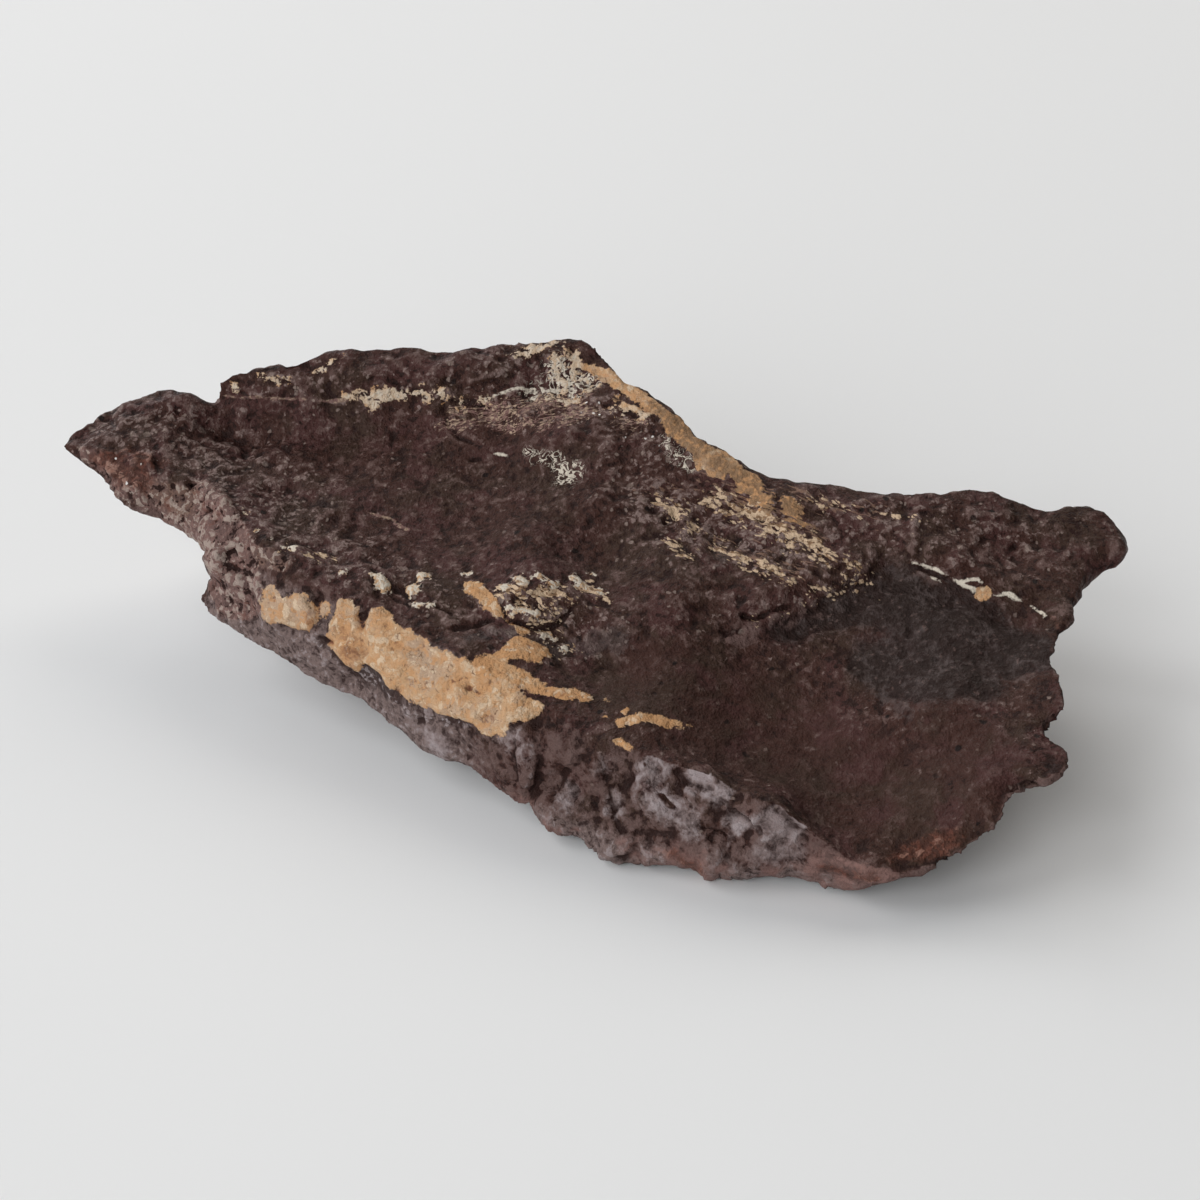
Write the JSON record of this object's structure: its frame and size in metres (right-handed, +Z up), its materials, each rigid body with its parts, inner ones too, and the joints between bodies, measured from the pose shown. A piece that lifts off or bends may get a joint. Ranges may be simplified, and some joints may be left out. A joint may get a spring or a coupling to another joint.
{
  "type": "chondrite meteorite",
  "caption": "Flat weathered stony meteorite fragment with a pointed end, a raised back rib and a broken front edge; lies on its worn belly.",
  "frame": {"origin": "middle of the bounding box, at the level of the flat that the stone rests on", "axes": "+X along the flake from the pointed tip to the knobbed end, +Y from the broken front edge to the back rib, +Z up"},
  "size_m": [0.0462, 0.0284, 0.012],
  "materials": {
    "weathered_stone": "dull, iron-stained dark brown stone with fine grain, rusty broken edges and crusts of tan caliche"
  },
  "bodies": {
    "root": {"meteorite": "weathered_stone"}
  },
  "joints": []
}
